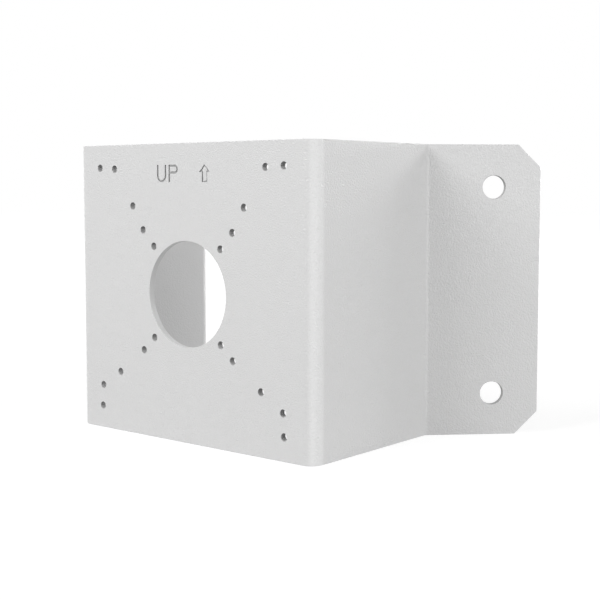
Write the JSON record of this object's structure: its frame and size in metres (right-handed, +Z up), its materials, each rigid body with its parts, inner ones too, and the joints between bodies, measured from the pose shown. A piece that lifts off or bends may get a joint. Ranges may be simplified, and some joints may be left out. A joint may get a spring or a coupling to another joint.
{
  "type": "camera corner mount bracket",
  "caption": "Folded sheet bracket that carries a security camera on a building's outside corner: flat camera face with cable hole, side panels and splayed wall flanges.",
  "frame": {"origin": "centre of the cable hole, on the outer surface of the camera face", "axes": "+Z up, -Y out of the camera face towards the camera, +X to the right of someone who looks at the camera face"},
  "size_m": [0.2256, 0.1253, 0.138],
  "materials": {
    "powder_coat": "white powder coat with a fine texture"
  },
  "bodies": {
    "root": {"bracket": "powder_coat"}
  },
  "joints": []
}
